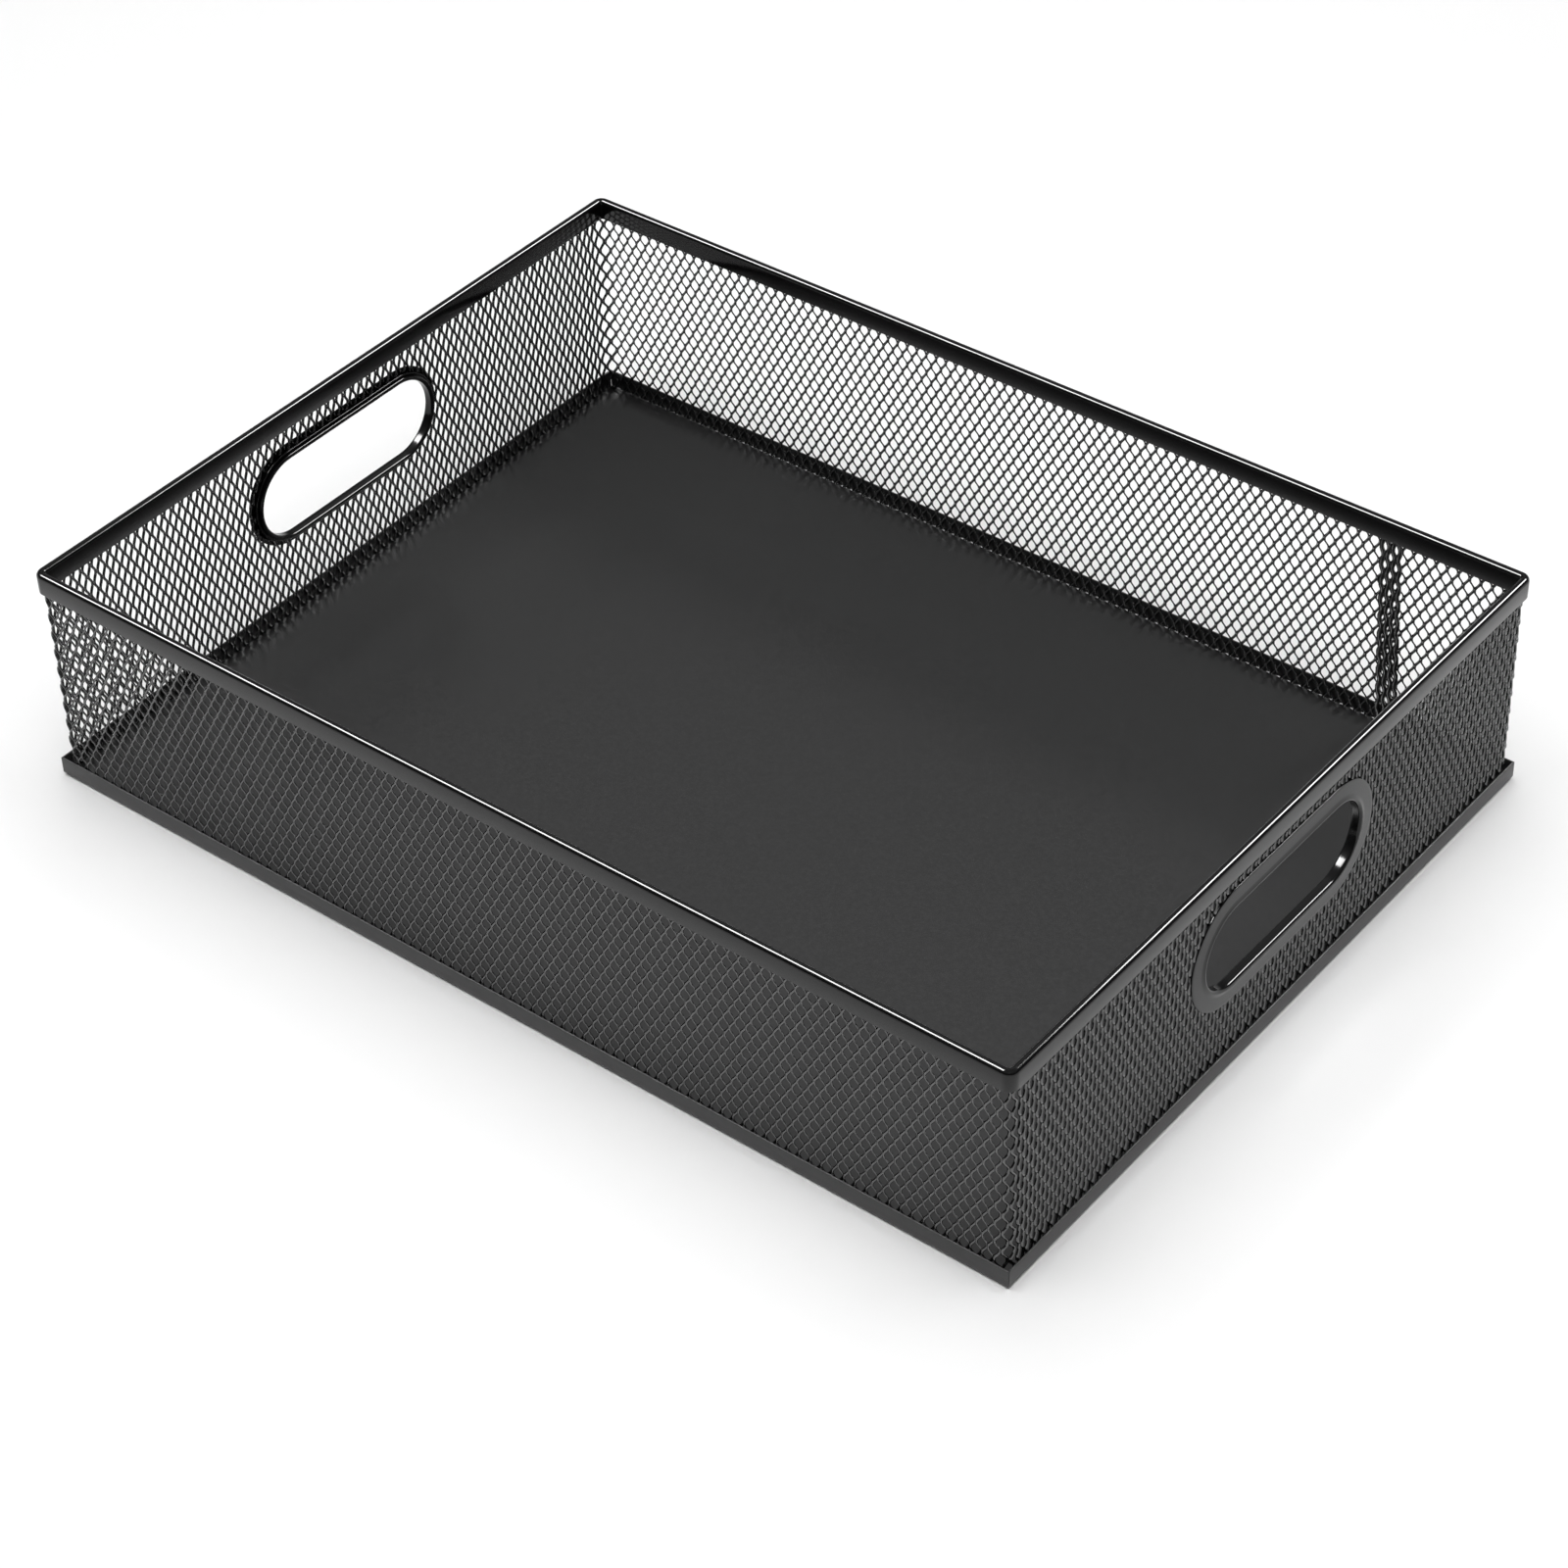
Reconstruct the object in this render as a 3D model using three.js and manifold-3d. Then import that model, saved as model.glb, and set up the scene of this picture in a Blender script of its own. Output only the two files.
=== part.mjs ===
// Wire-mesh drawer organizer tray with two hand-holes.
// Millimetres, +Z up. The origin is the centre of the footprint, on the surface the tray stands on.
// Seven separate pieces: a folded base pan, one mesh strip bent round into the four walls with a
// lapped seam, a U-shaped rim channel over its top edge, and a two-part stamped grommet in each
// short wall. The mesh is drawn here as plain thin sheet.

import * as THREE from 'three';
import { mergeVertices } from 'three/addons/utils/BufferGeometryUtils.js';
import Module from 'manifold-3d';

const wasm = await Module();
wasm.setup();

// ---- Driving dimensions ----------------------------------------------------------------------

const BASE_LENGTH = 341.4;      // outside the base pan's flanges, along X
const BASE_WIDTH = 250.4;       // outside the base pan's flanges, along Y
const HEIGHT = 74;              // table to the top of the rim

const PAN_SHEET = 0.6;          // base pan sheet thickness
const PAN_FLANGE_HEIGHT = 6.3;
const PAN_FOLD_RADIUS = 1.2;    // outside radius of the fold between floor and flange
const PAN_CORNER_SLIT = 1.6;     // each flange stops this far short of the pan's corner

const RIM_LENGTH = 340;         // outside the rim channel
const RIM_WIDTH = 249;
const RIM_THICKNESS = 2.8;      // across the folded channel
const RIM_SHEET = 0.5;
const RIM_DEPTH = 6.8;          // how far the channel reaches down the wall
const RIM_CORNER_RADIUS = 3.5;  // outside radius seen from above

const FIT_GAP = 0.3;            // clearance between neighbouring pieces
const MESH_THICKNESS = 0.6;
const SEAM_X = 126;             // middle of the lapped seam, on the +Y wall
const SEAM_LAP = 9;             // how far the strip's two ends overlap
const SEAM_JOG = 3;             // length over which the strip steps in behind its other end
const LAP_GAP = 0.1;            // air between the two layers of the lap

const HOLE_LENGTH = 74.6;       // clear hand-hole inside the grommet, along Y
const HOLE_HEIGHT = 26.4;
const HOLE_CENTRE_Z = 43.6;
const GROMMET_SHEET = 0.5;
const RIGHT_FACE_WIDTH = 6.6;   // the +X eyelet's flat face around the hole
const LEFT_FACE_WIDTH = 4;      // the -X eyelet's, which is narrower
const WASHER_WIDTH = 2.4;       // the inner ring's reach around the hole
const CREST_HEIGHT = 1.3;       // eyelet's crest above the mesh's middle
const BEAD_RADIUS = 0.9;        // outer rolled edge of the hole
const CURL_RADIUS = 0.85;       // lip curled back over the inner ring
const CURL_DEPTH = 2.1;         // how far the curl stands into the tray from the mesh's middle
const CURL_END = 315;           // where the curl's arc stops, in degrees

const CORNER_STEPS = 8;         // straight facets in a quarter turn
const FOLD_STEPS = 6;

// ---- Dimensions that follow from them --------------------------------------------------------

const MESH_OUTER_INSET = RIM_SHEET + FIT_GAP;
const MESH_MIDDLE_INSET = MESH_OUTER_INSET + MESH_THICKNESS / 2;
const MESH_BOTTOM = PAN_SHEET + FIT_GAP;
const MESH_TOP = HEIGHT - RIM_SHEET - FIT_GAP - 0.2;
const MESH_HALF_X = RIM_LENGTH / 2 - MESH_MIDDLE_INSET;
const HOLE_RADIUS = HOLE_HEIGHT / 2;
const MESH_HOLE_MARGIN = GROMMET_SHEET + FIT_GAP;

// ---- Geometry helpers ------------------------------------------------------------------------

function geometryFrom(positions, triangles) {
  const geometry = new THREE.BufferGeometry();
  geometry.setAttribute('position', new THREE.Float32BufferAttribute(positions.flat(), 3));
  geometry.setIndex(triangles.flat());
  if (signedVolume(positions, triangles) < 0) {
    geometry.setIndex(triangles.map(([a, b, c]) => [a, c, b]).flat());
  }
  geometry.computeVertexNormals();
  return geometry;
}

function signedVolume(positions, triangles) {
  let volume = 0;
  for (const [a, b, c] of triangles) {
    const [ax, ay, az] = positions[a];
    const [bx, by, bz] = positions[b];
    const [cx, cy, cz] = positions[c];
    volume += ax * (by * cz - bz * cy) + ay * (bz * cx - bx * cz) + az * (bx * cy - by * cx);
  }
  return volume / 6;
}

// Sweeps a closed profile through a list of stations. place(station, [offset, rise]) gives the
// point in space. A closed sweep joins its last station to its first; an open one gets end caps.
function sweep(stations, profile, place, closed) {
  const positions = [];
  for (const station of stations) {
    for (const point of profile) {
      positions.push(place(station, point));
    }
  }
  const triangles = [];
  const count = profile.length;
  const spans = closed ? stations.length : stations.length - 1;
  for (let i = 0; i < spans; i += 1) {
    const here = i * count;
    const next = ((i + 1) % stations.length) * count;
    for (let j = 0; j < count; j += 1) {
      const k = (j + 1) % count;
      triangles.push([here + j, next + j, next + k], [here + j, next + k, here + k]);
    }
  }
  if (!closed) {
    const outline = profile.map(([u, v]) => new THREE.Vector2(u, v));
    const last = (stations.length - 1) * count;
    for (const [a, b, c] of THREE.ShapeUtils.triangulateShape(outline, [])) {
      triangles.push([a, b, c], [last + a, last + c, last + b]);
    }
  }
  return geometryFrom(positions, triangles);
}

// Points of an arc about (centreU, centreV), both ends included.
function arc(centreU, centreV, radius, fromDegrees, toDegrees, steps) {
  const points = [];
  for (let i = 0; i <= steps; i += 1) {
    const angle = THREE.MathUtils.degToRad(fromDegrees + ((toDegrees - fromDegrees) * i) / steps);
    points.push([centreU + radius * Math.cos(angle), centreV + radius * Math.sin(angle)]);
  }
  return points;
}

// A corner's stations on a rounded rectangle: the point on the outline and its outward normal.
function cornerStations(halfX, halfY, radius, signX, signY, fromDegrees) {
  const centreX = signX * (halfX - radius);
  const centreY = signY * (halfY - radius);
  const stations = [];
  for (let i = 0; i <= CORNER_STEPS; i += 1) {
    const angle = THREE.MathUtils.degToRad(fromDegrees + (90 * i) / CORNER_STEPS);
    const nx = Math.cos(angle);
    const ny = Math.sin(angle);
    stations.push({ x: centreX + radius * nx, y: centreY + radius * ny, nx, ny });
  }
  return stations;
}

function roundedRectangle(halfX, halfY, radius) {
  return [
    ...cornerStations(halfX, halfY, radius, 1, 1, 0),
    ...cornerStations(halfX, halfY, radius, -1, 1, 90),
    ...cornerStations(halfX, halfY, radius, -1, -1, 180),
    ...cornerStations(halfX, halfY, radius, 1, -1, 270),
  ];
}

// Outward offset from a plan outline, and height.
const placeOnPlan = (station, [offset, z]) => [
  station.x + station.nx * offset,
  station.y + station.ny * offset,
  z,
];

function toManifold(geometry) {
  const plain = geometry.clone();
  plain.deleteAttribute('normal');
  plain.deleteAttribute('uv');
  const merged = mergeVertices(plain, 1e-5);
  return new wasm.Manifold(new wasm.Mesh({
    numProp: 3,
    vertProperties: new Float32Array(merged.attributes.position.array),
    triVerts: new Uint32Array(merged.index.array),
  }));
}

function fromManifold(solid) {
  const mesh = solid.getMesh();
  const geometry = new THREE.BufferGeometry();
  const points = [];
  for (let i = 0; i < mesh.vertProperties.length; i += mesh.numProp) {
    points.push(mesh.vertProperties[i], mesh.vertProperties[i + 1], mesh.vertProperties[i + 2]);
  }
  geometry.setAttribute('position', new THREE.Float32BufferAttribute(points, 3));
  geometry.setIndex(Array.from(mesh.triVerts));
  geometry.computeVertexNormals();
  return geometry;
}

function blackEnamel(roughness) {
  return new THREE.MeshStandardMaterial({ color: 0x1d1d1f, roughness, metalness: 0.25 });
}

function piece(name, geometry, roughness) {
  const mesh = new THREE.Mesh(geometry, blackEnamel(roughness));
  mesh.name = name;
  return mesh;
}

// ---- Base pan: a flat floor with a flange folded up along each side ----------------------------

function flangeProfile() {
  const floorReach = PAN_FOLD_RADIUS + 2;
  return [
    [-floorReach, 0],
    ...arc(-PAN_FOLD_RADIUS, PAN_FOLD_RADIUS, PAN_FOLD_RADIUS, -90, 0, FOLD_STEPS),
    [0, PAN_FLANGE_HEIGHT],
    [-PAN_SHEET, PAN_FLANGE_HEIGHT],
    ...arc(-PAN_FOLD_RADIUS, PAN_FOLD_RADIUS, PAN_FOLD_RADIUS - PAN_SHEET, 0, -90, FOLD_STEPS),
    [-floorReach, PAN_SHEET],
  ];
}

function foldedFlange(alongX, side) {
  const halfAcross = (alongX ? BASE_WIDTH : BASE_LENGTH) / 2;
  const halfRun = (alongX ? BASE_LENGTH : BASE_WIDTH) / 2 - PAN_CORNER_SLIT;
  const place = (station, [offset, z]) => {
    const across = side * (halfAcross + offset);
    return alongX ? [station, across, z] : [across, station, z];
  };
  return sweep([-halfRun, halfRun], flangeProfile(), place, false);
}

function basePan() {
  const floor = new THREE.BoxGeometry(
    BASE_LENGTH - 2 * PAN_FOLD_RADIUS,
    BASE_WIDTH - 2 * PAN_FOLD_RADIUS,
    PAN_SHEET,
  );
  floor.translate(0, 0, PAN_SHEET / 2);
  let pan = toManifold(floor);
  for (const alongX of [true, false]) {
    for (const side of [-1, 1]) {
      pan = pan.add(toManifold(foldedFlange(alongX, side)));
    }
  }
  return fromManifold(pan);
}

// ---- Mesh wall: one strip round all four sides, its ends lapped on the +Y wall -----------------

function meshStripStations() {
  const halfX = RIM_LENGTH / 2 - MESH_OUTER_INSET;
  const halfY = RIM_WIDTH / 2 - MESH_OUTER_INSET;
  const radius = RIM_CORNER_RADIUS - MESH_OUTER_INSET;
  const onSeamWall = (x, inset) => ({ x, y: halfY - inset, nx: 0, ny: 1 });
  const step = MESH_THICKNESS + LAP_GAP;
  return [
    onSeamWall(SEAM_X + SEAM_LAP / 2, 0),
    ...cornerStations(halfX, halfY, radius, -1, 1, 90),
    ...cornerStations(halfX, halfY, radius, -1, -1, 180),
    ...cornerStations(halfX, halfY, radius, 1, -1, 270),
    ...cornerStations(halfX, halfY, radius, 1, 1, 0),
    onSeamWall(SEAM_X + SEAM_LAP / 2 + 2 * SEAM_JOG, 0),
    onSeamWall(SEAM_X + SEAM_LAP / 2 + SEAM_JOG / 3, step),
    onSeamWall(SEAM_X - SEAM_LAP / 2, step),
  ];
}

function stadiumShape(halfLength, radius) {
  const straight = halfLength - radius;
  const shape = new THREE.Shape();
  shape.absarc(straight, 0, radius, -Math.PI / 2, Math.PI / 2, false);
  shape.absarc(-straight, 0, radius, Math.PI / 2, (3 * Math.PI) / 2, false);
  shape.closePath();
  return shape;
}

// A stadium-ended block right through the short wall at x = side * MESH_HALF_X.
function handHoleCutter(side) {
  const shape = stadiumShape(HOLE_LENGTH / 2 + MESH_HOLE_MARGIN, HOLE_RADIUS + MESH_HOLE_MARGIN);
  const depth = 8;
  const block = new THREE.ExtrudeGeometry(shape, { depth, bevelEnabled: false, curveSegments: 16 });
  block.translate(0, 0, -depth / 2);
  block.applyMatrix4(new THREE.Matrix4().makeBasis(
    new THREE.Vector3(0, 1, 0),
    new THREE.Vector3(0, 0, 1),
    new THREE.Vector3(1, 0, 0),
  ));
  block.translate(side * MESH_HALF_X, 0, HOLE_CENTRE_Z);
  return block;
}

function meshWall() {
  const profile = [
    [0, MESH_BOTTOM],
    [0, MESH_TOP],
    [-MESH_THICKNESS, MESH_TOP],
    [-MESH_THICKNESS, MESH_BOTTOM],
  ];
  let strip = toManifold(sweep(meshStripStations(), profile, placeOnPlan, false));
  for (const side of [-1, 1]) {
    strip = strip.subtract(toManifold(handHoleCutter(side)));
  }
  return fromManifold(strip);
}

// ---- Rim: a folded channel, round on top, that straddles the mesh's upper edge -----------------

function topRim() {
  const foldRadius = RIM_THICKNESS / 2;
  const foldHeight = HEIGHT - foldRadius;
  const bottom = HEIGHT - RIM_DEPTH;
  const profile = [
    [0, bottom],
    ...arc(-foldRadius, foldHeight, foldRadius, 0, 180, 2 * FOLD_STEPS),
    [-RIM_THICKNESS, bottom],
    [-RIM_THICKNESS + RIM_SHEET, bottom],
    ...arc(-foldRadius, foldHeight, foldRadius - RIM_SHEET, 180, 0, 2 * FOLD_STEPS),
    [-RIM_SHEET, bottom],
  ];
  const outline = roundedRectangle(RIM_LENGTH / 2, RIM_WIDTH / 2, RIM_CORNER_RADIUS);
  return sweep(outline, profile, placeOnPlan, true);
}

// ---- Grommets: an eyelet whose lip passes through the wall and curls over an inner ring --------

function stadiumStations() {
  const straight = HOLE_LENGTH / 2 - HOLE_RADIUS;
  const steps = 2 * CORNER_STEPS;
  const stations = [];
  for (const end of [1, -1]) {
    for (let i = 0; i <= steps; i += 1) {
      const angle = (end > 0 ? -Math.PI / 2 : Math.PI / 2) + (Math.PI * i) / steps;
      const ny = Math.cos(angle);
      const nz = Math.sin(angle);
      stations.push({ y: end * straight + HOLE_RADIUS * ny, z: HOLE_RADIUS * nz, ny, nz });
    }
  }
  return stations;
}

// Profile points are [distance outward from the clear hole, height above the mesh's middle].
function eyeletProfile(faceWidth) {
  const seat = MESH_THICKNESS / 2 + FIT_GAP;
  const beadCentre = CREST_HEIGHT - BEAD_RADIUS;
  const curlCentre = -CURL_DEPTH + CURL_RADIUS;
  const innerBead = BEAD_RADIUS - GROMMET_SHEET;
  const innerCurl = CURL_RADIUS - GROMMET_SHEET;
  return [
    [faceWidth, seat],
    [faceWidth, seat + GROMMET_SHEET],
    [2 * BEAD_RADIUS, CREST_HEIGHT - 0.15],
    ...arc(BEAD_RADIUS, beadCentre, BEAD_RADIUS, 60, 180, FOLD_STEPS),
    ...arc(CURL_RADIUS, curlCentre, CURL_RADIUS, 180, CURL_END, 2 * FOLD_STEPS),
    ...arc(CURL_RADIUS, curlCentre, innerCurl, CURL_END, 180, 2 * FOLD_STEPS),
    ...arc(BEAD_RADIUS, beadCentre, innerBead, 180, 90, FOLD_STEPS),
    [2 * BEAD_RADIUS, seat + 0.1],
  ];
}

// A flat ring between the curled lip and the mesh.
function washerProfile() {
  const near = GROMMET_SHEET + FIT_GAP;
  const seat = -MESH_THICKNESS / 2 - FIT_GAP;
  return [
    [near, seat],
    [near, seat - GROMMET_SHEET],
    [WASHER_WIDTH, seat - GROMMET_SHEET],
    [WASHER_WIDTH, seat],
  ];
}

function grommetRing(profile, side) {
  const place = (station, [outward, rise]) => [
    side * (MESH_HALF_X + rise),
    station.y + station.ny * outward,
    HOLE_CENTRE_Z + station.z + station.nz * outward,
  ];
  return sweep(stadiumStations(), profile, place, true);
}

// ---- The assembly ------------------------------------------------------------------------------

const tray = new THREE.Group();
tray.name = 'mesh_drawer_organizer';
tray.add(piece('base_pan', basePan(), 0.5));
tray.add(piece('mesh_wall', meshWall(), 0.4));
tray.add(piece('top_rim', topRim(), 0.3));
tray.add(piece('grommet_right_outer', grommetRing(eyeletProfile(RIGHT_FACE_WIDTH), 1), 0.25));
tray.add(piece('grommet_right_inner', grommetRing(washerProfile(), 1), 0.25));
tray.add(piece('grommet_left_outer', grommetRing(eyeletProfile(LEFT_FACE_WIDTH), -1), 0.25));
tray.add(piece('grommet_left_inner', grommetRing(washerProfile(), -1), 0.25));

export default tray;
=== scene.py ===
# Looks for the wire-mesh drawer organizer tray: expanded-metal walls drawn strand by strand,
# a rolled rim, a folded base pan and stamped grommets, in black enamel. Metres, +Z up.

import math

import bpy
import numpy as np
from mathutils import Matrix, Vector


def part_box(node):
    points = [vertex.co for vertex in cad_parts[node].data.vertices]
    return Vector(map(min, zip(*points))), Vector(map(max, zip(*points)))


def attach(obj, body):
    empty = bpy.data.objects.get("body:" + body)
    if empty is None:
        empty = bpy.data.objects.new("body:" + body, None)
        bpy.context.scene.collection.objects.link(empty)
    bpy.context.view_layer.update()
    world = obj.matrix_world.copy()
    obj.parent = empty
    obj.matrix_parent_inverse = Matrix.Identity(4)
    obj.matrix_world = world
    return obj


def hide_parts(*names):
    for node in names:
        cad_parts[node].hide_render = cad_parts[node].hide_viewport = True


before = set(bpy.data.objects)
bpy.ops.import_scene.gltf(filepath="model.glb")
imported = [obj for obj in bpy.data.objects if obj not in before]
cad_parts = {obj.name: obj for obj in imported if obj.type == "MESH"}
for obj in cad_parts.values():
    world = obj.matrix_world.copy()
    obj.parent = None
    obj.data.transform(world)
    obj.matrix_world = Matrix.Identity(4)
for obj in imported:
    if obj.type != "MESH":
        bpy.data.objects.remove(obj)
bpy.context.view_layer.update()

MM = 0.001

# ---- Sizes read from the frame ------------------------------------------------------------------

pan_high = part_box("base_pan")[1]
rim_low, rim_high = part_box("top_rim")
wall_low, wall_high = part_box("mesh_wall")
grommet_low, grommet_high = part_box("grommet_right_outer")
left_low, left_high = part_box("grommet_left_outer")
inner_low, inner_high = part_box("grommet_right_inner")

PAN_HALF_X = pan_high[0]
PAN_HALF_Y = pan_high[1]
FLANGE_TOP = pan_high[2]
RIM_HALF_X = rim_high[0]
RIM_HALF_Y = rim_high[1]
RIM_BOTTOM = rim_low[2]
RIM_TOP = rim_high[2]
WALL_BOTTOM = wall_low[2]
WALL_TOP = wall_high[2]

# ---- Sheet-metal details ------------------------------------------------------------------------

PAN_SHEET = 0.6 * MM
PAN_FOLD_RADIUS = 1.2 * MM
PAN_CORNER_GAP = 0.08 * MM      # half the slit between two flanges at a corner
RIM_SHEET = 0.5 * MM
RIM_THICKNESS = 2.8 * MM
RIM_CORNER_RADIUS = 3.3 * MM
GROMMET_SHEET = 0.5 * MM
GROMMET_FACE = 6.6 * MM         # width of the right-hand eyelet's face round the hole
GROMMET_BEAD = 0.9 * MM         # radius of the rolled outer edge of the hole
GROMMET_CURL = 0.85 * MM        # radius of the lip curled back inside the tray
GROMMET_CREST = 0.42 * MM       # how far the bead stands proud of the eyelet's face
GROMMET_EDGE = 0.2 * MM         # rounding of the eyelet's outer edge

# ---- Expanded mesh ------------------------------------------------------------------------------

CELL_WIDTH = 3.66 * MM
CELL_HEIGHT = 6.41 * MM
STRAND_WIDTH = 0.74 * MM
STRAND_THICKNESS = 0.45 * MM
STRAND_TILT = math.radians(36)  # how far the strands lean out of the sheet, like louvres
BOND_LENGTH = 0.9 * MM          # where two neighbouring strands are still one
SLOPE_STRETCH = 1.22            # widens a slanting strand's level section to keep its true width
BEND_RADIUS = 4.0 * MM          # of the mesh's mid-plane at the tray's corners
MESH_INSET = 1.15 * MM          # mid-plane inside the rim's outer face
MESH_SPREAD = 0.5 * MM          # the walls lean out this far at the foot, against the flange
HOLE_COVER = 1.5 * MM           # mesh is cut this far outside the hand-hole, under the grommet

SEAM_X = 126 * MM
SEAM_LAP = 6.0 * MM
SEAM_LEAN = 0.05                # the strip's end is cut slightly out of upright
SEAM_DEPTH = 0.85 * MM          # between the two layers of the lap
SEAM_TILT = math.radians(5)     # the lap's inner layer is squashed nearly flat
SEAM_STRAND_WIDTH = 1.30 * MM


# ---- Mesh building helpers ----------------------------------------------------------------------

def make_object(name, vertices, quads, material, sharp_degrees=35.0, extra_faces=()):
    """A smooth-shaded object whose edges stay sharp past the given angle."""
    mesh = bpy.data.meshes.new(name)
    faces = [tuple(int(i) for i in quad) for quad in quads]
    faces.extend(tuple(face) for face in extra_faces)
    mesh.from_pydata([tuple(v) for v in vertices], [], faces)
    mesh.polygons.foreach_set("use_smooth", [True] * len(mesh.polygons))
    mesh.set_sharp_from_angle(angle=math.radians(sharp_degrees))
    mesh.materials.append(material)
    mesh.update()
    made = bpy.data.objects.new(name, mesh)
    bpy.context.scene.collection.objects.link(made)
    return made


def ring_quads(stations, count, closed):
    """Quads of a swept closed profile of count points through the given number of stations."""
    spans = stations if closed else stations - 1
    here = np.arange(spans)[:, None] * count
    after = ((np.arange(spans) + 1) % stations)[:, None] * count
    j = np.arange(count)[None, :]
    k = (np.arange(count)[None, :] + 1) % count
    return np.stack([here + j, here + k, after + k, after + j], axis=-1).reshape(-1, 4)


def arc(centre_u, centre_v, radius, start, end, steps):
    """Points of an arc in a profile's plane, angles in degrees."""
    angles = np.radians(np.linspace(start, end, steps + 1))
    return [(centre_u + radius * math.cos(a), centre_v + radius * math.sin(a)) for a in angles]


def rounded_rectangle(half_x, half_y, radius, steps):
    """Points of a rounded rectangle's outline and their outward normals, anticlockwise."""
    points = []
    corners = [(1, 1, 0), (-1, 1, 90), (-1, -1, 180), (1, -1, 270)]
    for sign_x, sign_y, start in corners:
        for angle in np.radians(np.linspace(start, start + 90, steps + 1)):
            nx, ny = math.cos(angle), math.sin(angle)
            x = sign_x * (half_x - radius) + radius * nx
            y = sign_y * (half_y - radius) + radius * ny
            points.append((x, y, nx, ny))
    return points


def stadium(half_length, radius, steps):
    """Points of a stadium's outline and their outward normals: (y, z, ny, nz)."""
    points = []
    for end, start in ((1, -90), (-1, 90)):
        for angle in np.radians(np.linspace(start, start + 180, steps + 1)):
            ny, nz = math.cos(angle), math.sin(angle)
            points.append((end * (half_length - radius) + radius * ny, radius * nz, ny, nz))
    return points


# ---- Materials ----------------------------------------------------------------------------------

def black(level):
    """Nearly neutral black with a trace of blue."""
    return (level, level, level * 1.04)


def enamel(name, level, roughness, drift_scale, peel_scale, peel_strength, ior):
    """Black coat: slight colour drift, uneven gloss and a fine orange-peel surface."""
    colour = black(level)
    material = bpy.data.materials.new(name)
    material.use_nodes = True
    nodes = material.node_tree.nodes
    links = material.node_tree.links
    shader = nodes["Principled BSDF"]
    place = nodes.new("ShaderNodeTexCoord")

    drift = nodes.new("ShaderNodeTexNoise")
    drift.inputs["Scale"].default_value = drift_scale
    drift.inputs["Detail"].default_value = 3.0
    links.new(place.outputs["Object"], drift.inputs["Vector"])

    tint = nodes.new("ShaderNodeValToRGB")
    tint.color_ramp.elements[0].position = 0.3
    tint.color_ramp.elements[0].color = [0.8 * c for c in colour] + [1.0]
    tint.color_ramp.elements[1].position = 0.7
    tint.color_ramp.elements[1].color = [1.2 * c for c in colour] + [1.0]
    links.new(drift.outputs["Fac"], tint.inputs["Fac"])
    links.new(tint.outputs["Color"], shader.inputs["Base Color"])

    gloss = nodes.new("ShaderNodeMapRange")
    gloss.inputs["From Min"].default_value = 0.3
    gloss.inputs["From Max"].default_value = 0.7
    gloss.inputs["To Min"].default_value = roughness * 0.92
    gloss.inputs["To Max"].default_value = roughness * 1.08
    links.new(drift.outputs["Fac"], gloss.inputs["Value"])
    links.new(gloss.outputs["Result"], shader.inputs["Roughness"])

    peel = nodes.new("ShaderNodeTexNoise")
    peel.inputs["Scale"].default_value = peel_scale
    peel.inputs["Detail"].default_value = 1.0
    links.new(place.outputs["Object"], peel.inputs["Vector"])
    bump = nodes.new("ShaderNodeBump")
    bump.inputs["Strength"].default_value = peel_strength
    bump.inputs["Distance"].default_value = 0.05 * MM
    links.new(peel.outputs["Fac"], bump.inputs["Height"])
    links.new(bump.outputs["Normal"], shader.inputs["Normal"])

    shader.inputs["IOR"].default_value = ior
    return material


def plain_floor():
    material = bpy.data.materials.new("studio_floor")
    material.use_nodes = True
    shader = material.node_tree.nodes["Principled BSDF"]
    shader.inputs["Base Color"].default_value = (0.9, 0.9, 0.9, 1)
    shader.inputs["Roughness"].default_value = 0.6
    shader.inputs["Specular IOR Level"].default_value = 0.0
    return material


PAN_ENAMEL = enamel("pan_enamel", level=0.005, roughness=0.32, drift_scale=900,
                    peel_scale=2500, peel_strength=0.08, ior=1.62)
MESH_ENAMEL = enamel("mesh_enamel", level=0.003, roughness=0.10, drift_scale=400,
                     peel_scale=3000, peel_strength=0.05, ior=2.0)
RIM_ENAMEL = enamel("rim_enamel", level=0.003, roughness=0.11, drift_scale=150,
                    peel_scale=1500, peel_strength=0.04, ior=1.40)
GROMMET_ENAMEL = enamel("grommet_enamel", level=0.003, roughness=0.14, drift_scale=150,
                        peel_scale=1500, peel_strength=0.03, ior=1.37)


# ---- Base pan -----------------------------------------------------------------------------------

def flange_profile():
    """Points of the fold and flange: (offset from the outer face, height)."""
    lip = PAN_SHEET / 2
    inner_fold = PAN_FOLD_RADIUS - PAN_SHEET
    return [
        (-PAN_FOLD_RADIUS, 0),
        *arc(-PAN_FOLD_RADIUS, PAN_FOLD_RADIUS, PAN_FOLD_RADIUS, -90, 0, 8)[1:],
        *arc(-lip, FLANGE_TOP - lip, lip, 0, 180, 6),
        *arc(-PAN_FOLD_RADIUS, PAN_FOLD_RADIUS, inner_fold, 0, -90, 6),
    ]


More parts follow.
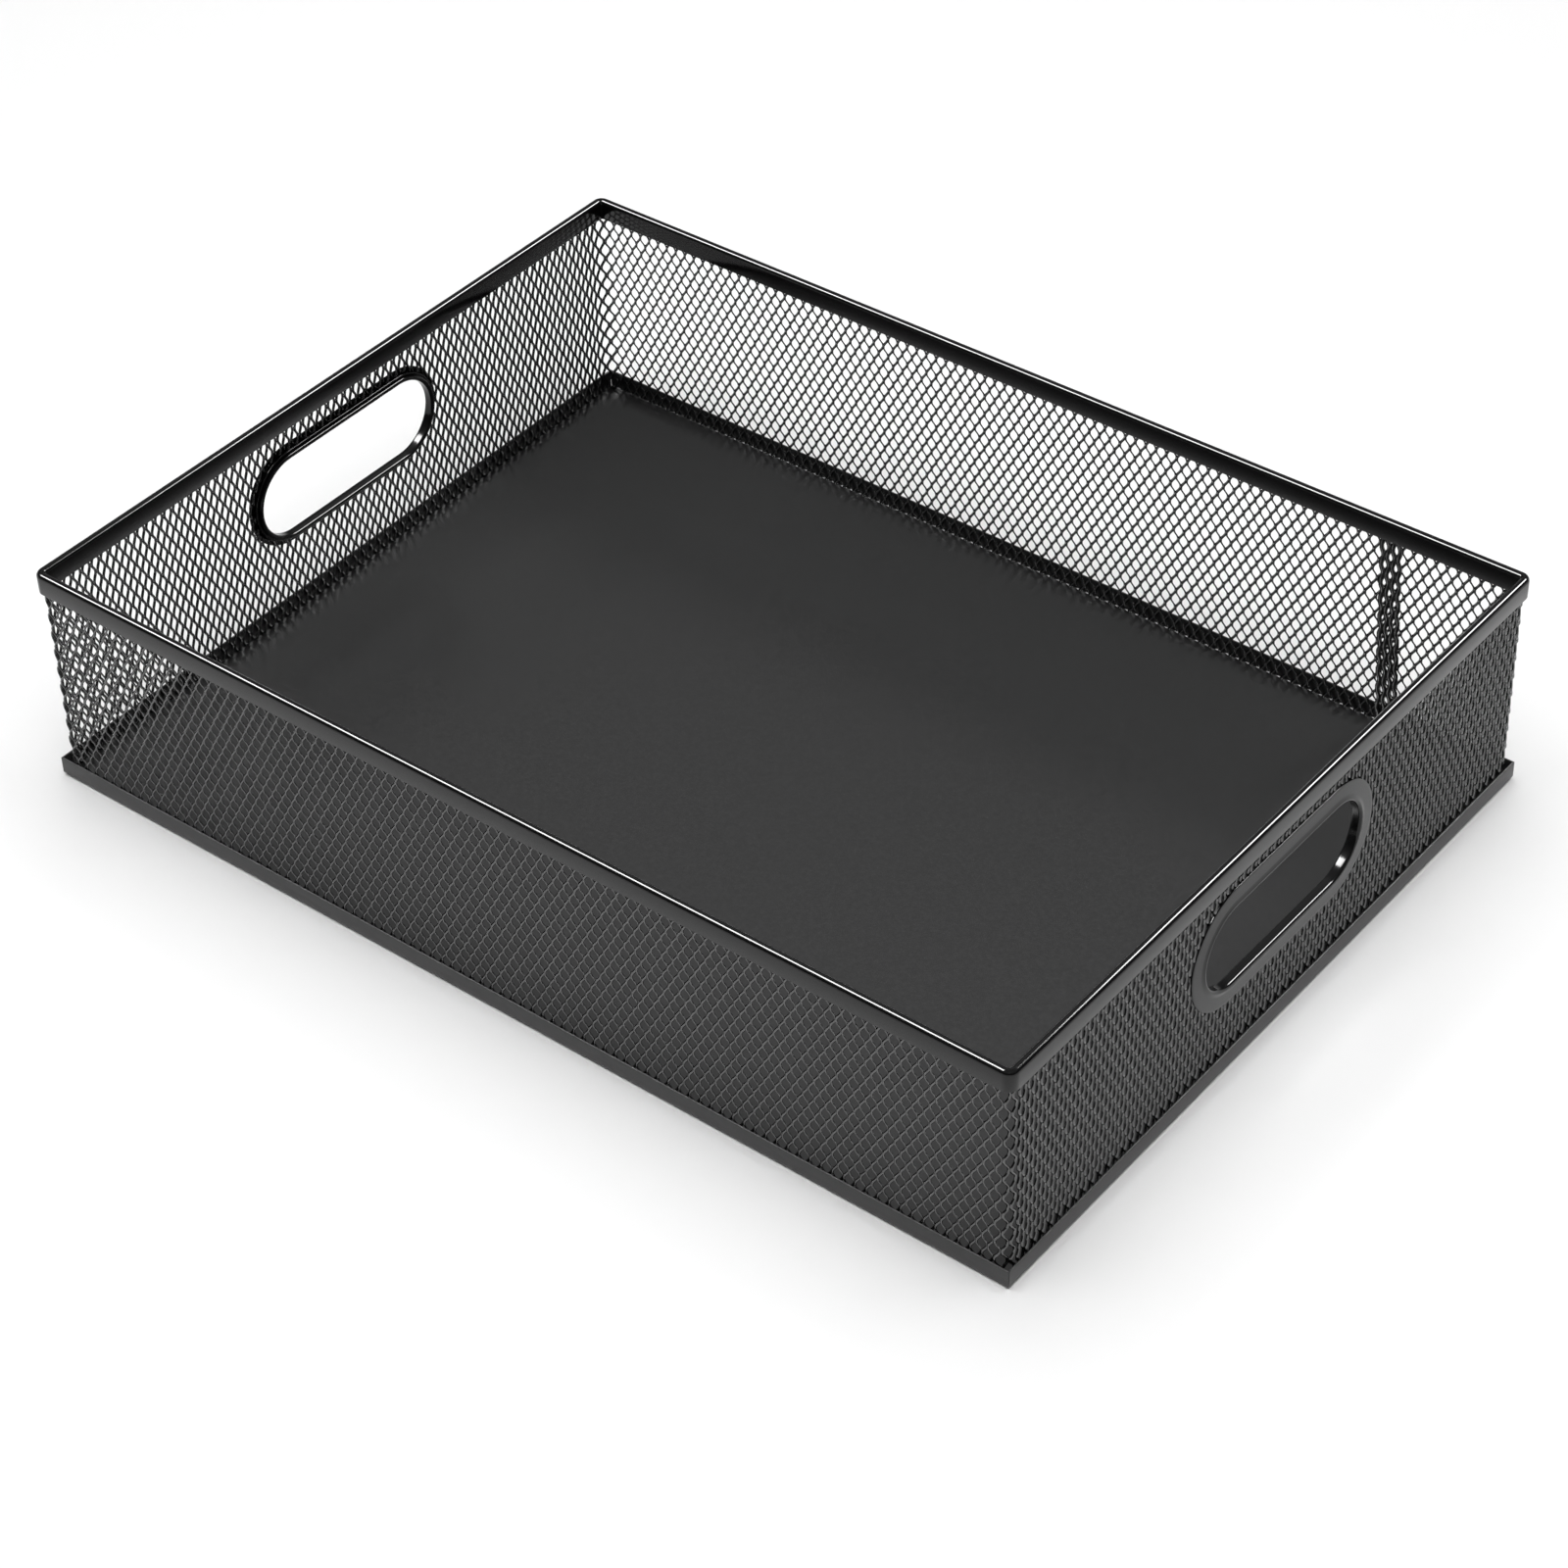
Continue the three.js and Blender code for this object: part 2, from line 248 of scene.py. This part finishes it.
def base_pan():
    """The flat floor and four folded flanges, mitred where they meet."""
    vertices = []
    quads = []
    caps = []
    profile = flange_profile()
    for across_half, along_half, along_x in (
        (PAN_HALF_Y, PAN_HALF_X, True),
        (PAN_HALF_X, PAN_HALF_Y, False),
    ):
        for side in (-1, 1):
            base = len(vertices)
            ends = (-1, 1) if (side > 0) != along_x else (1, -1)
            for end in ends:
                for offset, height in profile:
                    across = side * (across_half + offset)
                    along = end * (along_half + offset - PAN_CORNER_GAP)
                    point = (along, across, height) if along_x else (across, along, height)
                    vertices.append(point)
            count = len(profile)
            quads.extend(ring_quads(2, count, False) + base)
            caps.append([base + i for i in reversed(range(count))])
            caps.append([base + count + i for i in range(count)])
    floor_x = PAN_HALF_X - PAN_FOLD_RADIUS
    floor_y = PAN_HALF_Y - PAN_FOLD_RADIUS
    base = len(vertices)
    for z in (0, PAN_SHEET):
        vertices.extend([(-floor_x, -floor_y, z), (floor_x, -floor_y, z)])
        vertices.extend([(floor_x, floor_y, z), (-floor_x, floor_y, z)])
    caps.append([base + 3, base + 2, base + 1, base])
    caps.append([base + 4, base + 5, base + 6, base + 7])
    for i in range(4):
        j = (i + 1) % 4
        caps.append([base + i, base + j, base + 4 + j, base + 4 + i])
    return make_object("base_pan_sheet", vertices, quads, PAN_ENAMEL, 30, caps)


# ---- Rim ----------------------------------------------------------------------------------------

def top_rim():
    """The U-shaped channel, swept round the tray."""
    roll = RIM_THICKNESS / 2
    centre = RIM_TOP - roll
    edge = RIM_SHEET / 2
    profile = [
        *arc(-roll, centre, roll, 0, 180, 20),
        *arc(-RIM_THICKNESS + edge, RIM_BOTTOM + edge, edge, 180, 360, 6),
        *arc(-roll, centre, roll - RIM_SHEET, 180, 0, 12),
        *arc(-edge, RIM_BOTTOM + edge, edge, 180, 360, 6),
    ]
    outline = rounded_rectangle(RIM_HALF_X, RIM_HALF_Y, RIM_CORNER_RADIUS, 14)
    vertices = [
        (x + nx * offset, y + ny * offset, z) for x, y, nx, ny in outline for offset, z in profile
    ]
    return make_object("rim_channel", vertices, ring_quads(len(outline), len(profile), True),
                       RIM_ENAMEL)


# ---- Grommets -----------------------------------------------------------------------------------

HOLE_HALF_LENGTH = (grommet_high[1] - grommet_low[1]) / 2 - GROMMET_FACE
HOLE_RADIUS = (grommet_high[2] - grommet_low[2]) / 2 - GROMMET_FACE
HOLE_Z = (grommet_high[2] + grommet_low[2]) / 2
CREST_X = grommet_high[0]               # outermost reach of the right-hand eyelet
CURL_X = grommet_low[0]                 # how far its curled lip stands into the tray
LEFT_FACE = (left_high[1] - left_low[1]) / 2 - HOLE_HALF_LENGTH
WASHER_WIDTH = (inner_high[1] - inner_low[1]) / 2 - HOLE_HALF_LENGTH
WASHER_FRONT = inner_low[0]
WASHER_BACK = inner_high[0]


def eyelet_profile(face_width):
    """(distance outward from the clear hole, x of the right-hand eyelet)."""
    bead = GROMMET_BEAD
    curl = GROMMET_CURL
    ramp_middle = bead + 1.0 * MM
    ramp_foot = bead + 1.6 * MM
    bead_x = CREST_X - bead
    curl_x = CURL_X + curl
    face = CREST_X - GROMMET_CREST
    edge = GROMMET_EDGE
    return [
        (face_width, face - GROMMET_SHEET),
        *arc(face_width - edge, face - 1.4 * edge, edge, 0, 90, 4),
        (face_width - 1.0 * MM, face),
        (ramp_foot, face + 0.04 * MM),
        (ramp_middle, face + 0.12 * MM),
        *arc(bead, bead_x, bead, 70, 180, 12),
        *arc(curl, curl_x, curl, 180, 325, 18),
        *arc(curl, curl_x, curl - GROMMET_SHEET, 325, 180, 12),
        *arc(bead, bead_x, bead - GROMMET_SHEET, 180, 90, 8),
        (ramp_middle, face - GROMMET_SHEET + 0.08 * MM),
    ]


def washer_profile():
    """The flat inner ring, in the same terms as the eyelet."""
    near = GROMMET_SHEET + 0.2 * MM
    edge = (WASHER_BACK - WASHER_FRONT) / 2
    return [
        (near, WASHER_BACK),
        (near, WASHER_FRONT),
        *arc(WASHER_WIDTH - edge, WASHER_FRONT + edge, edge, 270, 450, 8),
    ]


def grommet_ring(name, profile, side):
    """A profile swept round the hand-hole of the +X wall (side 1) or the -X wall (side -1)."""
    outline = stadium(HOLE_HALF_LENGTH, HOLE_RADIUS, 28)
    vertices = []
    for y, z, ny, nz in outline:
        for outward, x in profile:
            vertices.append((side * x, y + ny * outward, HOLE_Z + z + nz * outward))
    quads = ring_quads(len(outline), len(profile), True)
    return make_object(name, vertices, quads, GROMMET_ENAMEL)


# ---- Expanded-metal walls -----------------------------------------------------------------------

WALL_HALF_X = RIM_HALF_X - MESH_INSET
WALL_HALF_Y = RIM_HALF_Y - MESH_INSET
STRIP_SPACING = CELL_WIDTH / 2          # one strand column per half cell


def wall_runs():
    """Lengths of a long wall's straight run, a short wall's straight run and one bend."""
    straight_x = 2 * (WALL_HALF_X - BEND_RADIUS)
    straight_y = 2 * (WALL_HALF_Y - BEND_RADIUS)
    bend = math.pi / 2 * BEND_RADIUS
    return straight_x, straight_y, bend


def strip_to_plan(run):
    """Plan position and outward normal at a distance along the strip, for an array of distances.
    The strip starts at the near end of the +X wall and goes anticlockwise."""
    straight_x, straight_y, bend = wall_runs()
    corner_x = WALL_HALF_X - BEND_RADIUS
    corner_y = WALL_HALF_Y - BEND_RADIUS
    lap = 2 * (straight_x + straight_y) + 4 * bend
    run = np.mod(run, lap)
    x = np.zeros_like(run)
    y = np.zeros_like(run)
    nx = np.zeros_like(run)
    ny = np.zeros_like(run)
    start = 0.0
    walls = [
        (straight_y, (corner_x, -corner_y), (0, 1), 0),
        (straight_x, (corner_x, corner_y), (-1, 0), 90),
        (straight_y, (-corner_x, corner_y), (0, -1), 180),
        (straight_x, (-corner_x, -corner_y), (1, 0), 270),
    ]
    for length, (from_x, from_y), (dx, dy), facing in walls:
        out_x = math.cos(math.radians(facing))
        out_y = math.sin(math.radians(facing))
        on = (run >= start) & (run < start + length)
        along = run - start
        x = np.where(on, from_x + dx * along + out_x * BEND_RADIUS, x)
        y = np.where(on, from_y + dy * along + out_y * BEND_RADIUS, y)
        nx = np.where(on, out_x, nx)
        ny = np.where(on, out_y, ny)
        start += length
        on = (run >= start) & (run < start + bend)
        angle = math.radians(facing) + (run - start) / BEND_RADIUS
        centre_x = from_x + dx * length
        centre_y = from_y + dy * length
        x = np.where(on, centre_x + BEND_RADIUS * np.cos(angle), x)
        y = np.where(on, centre_y + BEND_RADIUS * np.sin(angle), y)
        nx = np.where(on, np.cos(angle), nx)
        ny = np.where(on, np.sin(angle), ny)
        start += bend
    return x, y, nx, ny


def strand_stations(lift):
    """Heights up one strand and its sideways swing there, from -1 to 1: upright along each bond,
    and slanting between bonds with the ends eased."""
    half = CELL_HEIGHT / 2
    bond = BOND_LENGTH / 2
    slope = half - 2 * bond
    pattern = [(bond, -1.0), (bond + 0.3 * slope, -0.52), (bond + 0.7 * slope, 0.52),
               (half - bond, 1.0)]
    heights = []
    swings = []
    row = 0
    bottom = WALL_BOTTOM - lift
    while bottom + row * half < WALL_TOP:
        sign = 1 if row % 2 == 0 else -1
        for rise, swing in pattern:
            heights.append(bottom - bond + row * half + rise)
            swings.append(sign * swing)
        row += 1
    heights = np.array(heights)
    swings = np.array(swings)
    keep = (heights >= WALL_BOTTOM) & (heights <= WALL_TOP)
    return heights[keep], swings[keep]


def inside_stadium(across, height, margin):
    straight = HOLE_HALF_LENGTH - HOLE_RADIUS
    beyond = np.maximum(np.abs(across) - straight, 0)
    return np.hypot(beyond, height - HOLE_Z) < HOLE_RADIUS + margin


def shown_stretches(hidden):
    """(start, end) of each unbroken stretch of stations that isn't hidden, two or more long."""
    stretches = []
    start = None
    for j, gone in enumerate([*hidden, True]):
        if not gone and start is None:
            start = j
        if gone and start is not None:
            if j - start > 1:
                stretches.append((start, j))
            start = None
    return stretches


def strands(name, first, last, width=STRAND_WIDTH, tilt=STRAND_TILT, depth=0.0, lean=0.0,
            lift=0.0):
    """Strand columns first..last of the strip as one piece of mesh, cut round the hand-holes."""
    heights, swings = strand_stations(lift)
    count = len(heights)
    columns = np.arange(first, last)
    mirror = np.where(columns % 2 == 0, 1.0, -1.0)
    reach = STRIP_SPACING / 2 - width / 2 * math.cos(tilt)
    rise = width / 2 * math.sin(tilt)
    swing = mirror[:, None] * swings[None, :]
    run = columns[:, None] * STRIP_SPACING + swing * reach
    run = run + lean * (heights[None, :] - (WALL_BOTTOM + WALL_TOP) / 2)
    spread = MESH_SPREAD * (WALL_TOP - heights) / (WALL_TOP - WALL_BOTTOM)
    out = depth + spread - swing * rise
    slanting = np.abs(swings) < 1.0
    slope = np.where(slanting, SLOPE_STRETCH, 1.0)[None, :]
    corners = []
    for across, through in ((-1, -1), (1, -1), (1, 1), (-1, 1)):
        side = across * width / 2
        thick = through * STRAND_THICKNESS / 2
        d_run = (side * math.cos(tilt) - thick * math.sin(tilt)) * slope
        d_out = side * math.sin(tilt) + thick * math.cos(tilt)
        corners.append((run + d_run, out + d_out))
    run4 = np.stack([c[0] for c in corners], axis=-1)
    out4 = np.stack([c[1] for c in corners], axis=-1)
    z4 = np.broadcast_to(heights[None, :, None], run4.shape)
    x, y, nx, ny = strip_to_plan(run4)
    points = np.stack([x + nx * out4, y + ny * out4, z4], axis=-1)

    on_short_wall = np.abs(nx) > math.cos(math.radians(8))
    hidden = (inside_stadium(y, z4, HOLE_COVER) & on_short_wall).any(axis=-1)
    vertices = points.reshape(-1, 3)
    quads = []
    caps = []
    for column in range(len(columns)):
        for start, end in shown_stretches(hidden[column]):
            base = (column * count + start) * 4
            quads.append(ring_quads(end - start, 4, False) + base)
            caps.append([base + 3, base + 2, base + 1, base])
            top = (column * count + end - 1) * 4
            caps.append([top, top + 1, top + 2, top + 3])
    quads = np.concatenate(quads)
    used = np.unique(np.concatenate([quads.ravel(), np.array(caps).ravel()]))
    renumber = np.zeros(len(vertices), dtype=int)
    renumber[used] = np.arange(len(used))
    return make_object(name, vertices[used], renumber[quads], MESH_ENAMEL, 180,
                       [[int(renumber[i]) for i in cap] for cap in caps])


def mesh_walls():
    """The four walls, split at the middles of the bends, and the seam's inner layer."""
    straight_x, straight_y, bend = wall_runs()
    total = 2 * (straight_x + straight_y) + 4 * bend
    marks = [
        ("mesh_right", 0.0),
        ("mesh_back", straight_y + bend / 2),
        ("mesh_left", straight_y + straight_x + 1.5 * bend),
        ("mesh_front", 2 * straight_y + straight_x + 2.5 * bend),
        ("mesh_end", total),
    ]
    made = []
    for (name, start), (_, end) in zip(marks, marks[1:]):
        first = math.ceil(start / STRIP_SPACING)
        last = math.ceil(end / STRIP_SPACING)
        made.append(strands(name, first, last))
    seam_run = straight_y + bend + (WALL_HALF_X - BEND_RADIUS - SEAM_X)
    seam_first = round((seam_run - SEAM_LAP / 2) / STRIP_SPACING)
    seam_last = round((seam_run + SEAM_LAP / 2) / STRIP_SPACING)
    made.append(strands("mesh_seam_lap", seam_first, seam_last, SEAM_STRAND_WIDTH, SEAM_TILT,
                        -SEAM_DEPTH, SEAM_LEAN, CELL_HEIGHT / 2))
    return made


# ---- The tray -----------------------------------------------------------------------------------

def adopt(piece, node):
    """Hand a piece to the frame: it rides on the tray and stands for the named node."""
    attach(piece, "root")
    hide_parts(node)


adopt(base_pan(), "base_pan")
adopt(top_rim(), "top_rim")
for wall in mesh_walls():
    adopt(wall, "mesh_wall")
for label, side, face_width in (("right", 1, GROMMET_FACE), ("left", -1, LEFT_FACE)):
    eyelet = grommet_ring(f"hand_hole_{label}_eyelet", eyelet_profile(face_width), side)
    adopt(eyelet, f"grommet_{label}_outer")
    washer = grommet_ring(f"hand_hole_{label}_washer", washer_profile(), side)
    adopt(washer, f"grommet_{label}_inner")


# ---- Studio -------------------------------------------------------------------------------------

def studio_floor():
    size = 6.0
    clearance = 0.05 * MM
    corners = [(-size, -size), (size, -size), (size, size), (-size, size)]
    floor = make_object("studio_floor", [(x, y, -clearance) for x, y in corners],
                        [(0, 1, 2, 3)], plain_floor())


def soft_light(name, position, width, height, radiance, for_gloss):
    """A rectangular box light facing straight down. One kind lights the paint's gloss only, and
    the other lights everything but it, so that the highlights cast no shadows of their own."""
    data = bpy.data.lights.new(name, "AREA")
    data.shape = "RECTANGLE"
    data.size = width
    data.size_y = height
    data.energy = radiance * math.pi * width * height
    light = bpy.data.objects.new(name, data)
    light.location = position
    light.visible_diffuse = not for_gloss
    light.visible_glossy = for_gloss
    bpy.context.scene.collection.objects.link(light)


CAMERA_SIDE = [(0.0, 0.05), (0.6, 0.07), (0.8, 0.3)]
FAR_SIDE = [(0.0, 1.0), (0.10, 0.9), (0.16, 0.10), (0.6, 0.07), (0.8, 0.3)]
GLOW = [(0.35, 0.0), (0.55, 0.35), (0.68, 0.6), (0.85, 0.0)]
BEHIND = (-0.63, 0.77, 0.0)             # level direction away from the camera
ACROSS = (0.77, 0.63, 0.0)              # level direction from left to right


def height_ramp(world, height, levels):
    """Grey levels against the upward part of a direction."""
    ramp = world.node_tree.nodes.new("ShaderNodeValToRGB")
    world.node_tree.links.new(height, ramp.inputs["Fac"])
    while len(ramp.color_ramp.elements) < len(levels):
        ramp.color_ramp.elements.new(0.5)
    for element, (position, level) in zip(ramp.color_ramp.elements, levels):
        element.position = position
        element.color = (level, level, level, 1)
    return ramp.outputs["Color"]


def along(world, direction, axis):
    """How much of a direction points along an axis."""
    dot = world.node_tree.nodes.new("ShaderNodeVectorMath")
    dot.operation = "DOT_PRODUCT"
    dot.inputs[1].default_value = axis
    world.node_tree.links.new(direction, dot.inputs[0])
    return dot.outputs["Value"]


def between(world, value, start, end, low, high, shape):
    """A value mapped from start..end to low..high."""
    remap = world.node_tree.nodes.new("ShaderNodeMapRange")
    remap.interpolation_type = shape
    remap.inputs["From Min"].default_value = start
    remap.inputs["From Max"].default_value = end
    remap.inputs["To Min"].default_value = low
    remap.inputs["To Max"].default_value = high
    world.node_tree.links.new(value, remap.inputs["Value"])
    return remap.outputs["Result"]


def blend(world, factor, first, second, mode):
    """Two colours mixed, or the second added to the first."""
    mix = world.node_tree.nodes.new("ShaderNodeMix")
    mix.data_type = "RGBA"
    mix.blend_type = mode
    world.node_tree.links.new(factor, mix.inputs["Factor"])
    world.node_tree.links.new(first, mix.inputs["A"])
    world.node_tree.links.new(second, mix.inputs["B"])
    return mix.outputs["Result"]


def sky():
    """A pale sweep low behind the tray, a faint glow above it and dark elsewhere, so that black
    paint shows its shape."""
    world = bpy.data.worlds.new("studio")
    bpy.context.scene.world = world
    world.use_nodes = True
    nodes = world.node_tree.nodes
    links = world.node_tree.links
    direction = nodes.new("ShaderNodeTexCoord").outputs["Generated"]
    split = nodes.new("ShaderNodeSeparateXYZ")
    links.new(direction, split.inputs["Vector"])
    height = split.outputs["Z"]

    far = between(world, along(world, direction, BEHIND), -0.1, 0.2, 0.0, 1.0, "LINEAR")
    near_levels = height_ramp(world, height, CAMERA_SIDE)
    far_levels = height_ramp(world, height, FAR_SIDE)
    sides = blend(world, far, near_levels, far_levels, "MIX")

    sideways = nodes.new("ShaderNodeMath")
    sideways.operation = "ABSOLUTE"
    links.new(along(world, direction, ACROSS), sideways.inputs[0])
    fade = between(world, sideways.outputs["Value"], 0.0, 0.2, 1.0, 0.3, "SMOOTHSTEP")
    lit = blend(world, fade, sides, height_ramp(world, height, GLOW), "ADD")
    links.new(lit, nodes["Background"].inputs["Color"])


def camera():
    """A long lens looking down over the corner between the -Y and +X walls."""
    azimuth = math.radians(39.23)
    elevation = math.radians(40.0)
    roll = math.radians(-1.724)
    distance = 1.1055
    target = Vector((25.1 * MM, -30.4 * MM, 30 * MM))
    back = Vector((
        math.sin(azimuth) * math.cos(elevation),
        -math.cos(azimuth) * math.cos(elevation),
        math.sin(elevation),
    ))
    data = bpy.data.cameras.new("camera")
    data.sensor_width = 36.0
    data.lens = 90.8
    made = bpy.data.objects.new("camera", data)
    facing = (-back).to_track_quat("-Z", "Y").to_matrix().to_4x4()
    made.matrix_world = (
        Matrix.Translation(target + back * distance) @ facing @ Matrix.Rotation(roll, 4, "Z")
    )
    bpy.context.scene.collection.objects.link(made)
    bpy.context.scene.camera = made


studio_floor()
sky()
soft_light("overhead", (0.0, 0.0, 1.6), width=1.8, height=1.8, radiance=3.3, for_gloss=False)
soft_light("left_box", (-0.80, -0.45, 1.3), width=1.1, height=0.55, radiance=42.0,
           for_gloss=True)
soft_light("back_box", (0.53, 1.25, 1.3), width=0.55, height=0.8, radiance=42.0,
           for_gloss=True)
camera()
bpy.context.scene.view_settings.view_transform = "Standard"
